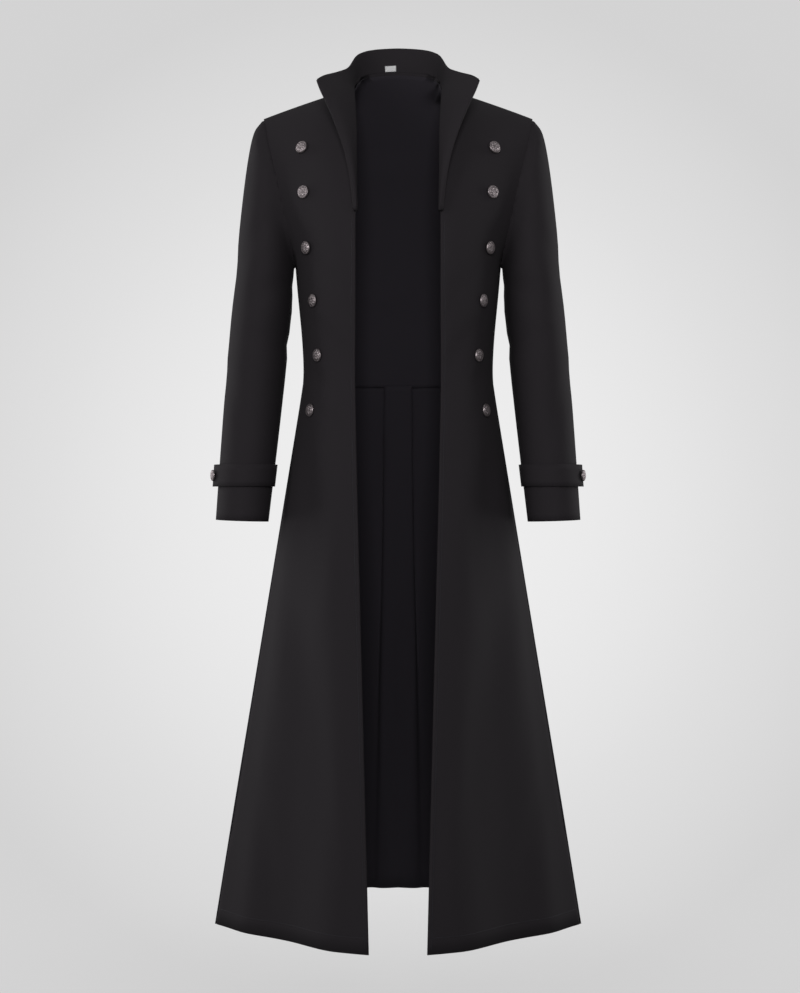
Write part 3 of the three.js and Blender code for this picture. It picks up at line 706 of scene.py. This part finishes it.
class COAT_OT_stitches(bpy.types.Operator):
    """Lay the edge and hem stitching on the fronts"""

    bl_idname, bl_label = "coat.stitches", "Stitches"

    def execute(self, context):
        s = context.scene.coat
        tree = stitch_tree()
        for side, flip in (("left", 1), ("right", -1)):
            cloth = bpy.data.objects["front_" + side + "_cloth"]
            surface = BVHTree.FromObject(cloth, context.evaluated_depsgraph_get())

            def on_front(x, z):
                hit = surface.ray_cast(Vector((x * flip, -1, z)), Vector((0, 1, 0)))[0]
                return None if hit is None else hit - Vector((0, STITCH_SINK, 0))

            def edge_of(z):
                x, limit, step = EDGE_SCAN
                while on_front(x, z) is None and x < limit:
                    x += step
                return x

            edge = [on_front(edge_of(z) + s.stitch_inset, z) for z in np.linspace(*EDGE_STITCHES)]
            stitch_run("edge_stitches_" + side, tree, [p for p in edge if p], s.stitch_length)
            across = [on_front(x, HEM_STITCH_HEIGHT) for x in np.linspace(*HEM_STITCHES)]
            stitch_run("hem_stitches_" + side, tree, [p for p in across if p], s.stitch_length)
        return {"FINISHED"}


def area_light(name, place, size, power, aim):
    lamp = bpy.data.lights.new(name, "AREA")
    lamp.shape, lamp.size, lamp.size_y, lamp.energy = "RECTANGLE", size[0], size[1], power
    holder = bpy.data.objects.new(name, lamp)
    holder.location = place
    holder.rotation_euler = (Vector(aim) - Vector(place)).to_track_quat("-Z", "Y").to_euler()
    bpy.context.scene.collection.objects.link(holder)


def studio_world():
    """A pale surround, brightest behind the coat, that lights the cloth only softly."""
    world = bpy.data.worlds.new("studio")
    bpy.context.scene.world = world
    world.use_nodes = True
    nodes, link = world.node_tree.nodes, world.node_tree.links.new
    nodes.clear()
    way, dot = nodes.new("ShaderNodeTexCoord"), nodes.new("ShaderNodeVectorMath")
    dot.operation = "DOT_PRODUCT"
    dot.inputs[1].default_value = (0, 1, 0)
    ramp = nodes.new("ShaderNodeValToRGB")
    while len(ramp.color_ramp.elements) < len(SURROUND):
        ramp.color_ramp.elements.new(0.5)
    for element, (at, grey) in zip(ramp.color_ramp.elements, SURROUND):
        element.position, element.color = at, (grey, grey * 0.997, grey, 1)
    seen, level = nodes.new("ShaderNodeLightPath"), nodes.new("ShaderNodeMapRange")
    level.inputs["To Min"].default_value = SURROUND_LIGHT
    level.inputs["To Max"].default_value = 1.0
    back, out = nodes.new("ShaderNodeBackground"), nodes.new("ShaderNodeOutputWorld")
    link(way.outputs["Generated"], dot.inputs[0])
    link(dot.outputs["Value"], ramp.inputs[0])
    link(ramp.outputs[0], back.inputs["Color"])
    link(seen.outputs["Is Camera Ray"], level.inputs["Value"])
    link(level.outputs[0], back.inputs["Strength"])
    link(back.outputs[0], out.inputs[0])


def floor_material():
    """A pale floor that fades into the surround."""
    m = Maker("floor")
    where = m.node("ShaderNodeTexCoord", {}, out=3)
    length = m.node("ShaderNodeVectorMath", {"operation": "LENGTH"}, where, out=1)
    fade = m.node("ShaderNodeMapRange", {"interpolation_type": "SMOOTHSTEP"}, length,
                  *FLOOR_FADE)
    plain = m.node("ShaderNodeBsdfDiffuse", {}, Color=(0.7, 0.7, 0.7, 1))
    clear = m.node("ShaderNodeBsdfTransparent", {})
    return m.finish(m.node("ShaderNodeMixShader", {}, fade, clear, plain))


class COAT_OT_stage(bpy.types.Operator):
    """Set the camera, the soft lights and the pale floor"""

    bl_idname, bl_label = "coat.stage", "Studio"

    def execute(self, context):
        eye = bpy.data.cameras.new("camera")
        eye.lens, eye.sensor_width = FOCAL_LENGTH, 36
        holder = bpy.data.objects.new("camera", eye)
        holder.location, holder.rotation_euler = STUDIO_EYE, (math.pi / 2, 0, 0)
        context.scene.collection.objects.link(holder)
        context.scene.camera = holder
        context.scene.view_settings.view_transform = "Standard"
        studio_world()
        for lamp in LAMPS:
            area_light(*lamp)
        work = bmesh.new()
        bmesh.ops.create_circle(work, cap_ends=True, segments=96, radius=FLOOR_RADIUS)
        mesh = bpy.data.meshes.new("floor")
        work.to_mesh(mesh)
        work.free()
        floor = bpy.data.objects.new("floor", mesh)
        floor.location = (0, 0, CAD_BOX[0][2] - FLOOR_DROP)
        context.scene.collection.objects.link(floor)
        mesh.materials.append(floor_material())
        return {"FINISHED"}


class COAT_PT_panel(bpy.types.Panel):
    bl_label, bl_idname = "Frock coat", "COAT_PT_panel"
    bl_space_type, bl_region_type, bl_category = "VIEW_3D", "UI", "Frock coat"

    def draw(self, context):
        for name in CoatSettings.__annotations__:
            self.layout.prop(context.scene.coat, name)
        for operator in OPERATORS:
            self.layout.operator(operator.bl_idname)


OPERATORS = (COAT_OT_materials, COAT_OT_fronts, COAT_OT_back, COAT_OT_collar, COAT_OT_sleeves,
             COAT_OT_buttons, COAT_OT_stitches, COAT_OT_stage)
CLASSES = (CoatSettings, *OPERATORS, COAT_PT_panel)


def register():
    for item in CLASSES:
        bpy.utils.register_class(item)
    bpy.types.Scene.coat = bpy.props.PointerProperty(type=CoatSettings)


def unregister():
    del bpy.types.Scene.coat
    for item in reversed(CLASSES):
        bpy.utils.unregister_class(item)


def main():
    register()
    for operator in OPERATORS:
        group, name = operator.bl_idname.split(".")
        getattr(getattr(bpy.ops, group), name)()


if __name__ == "__main__":
    main()
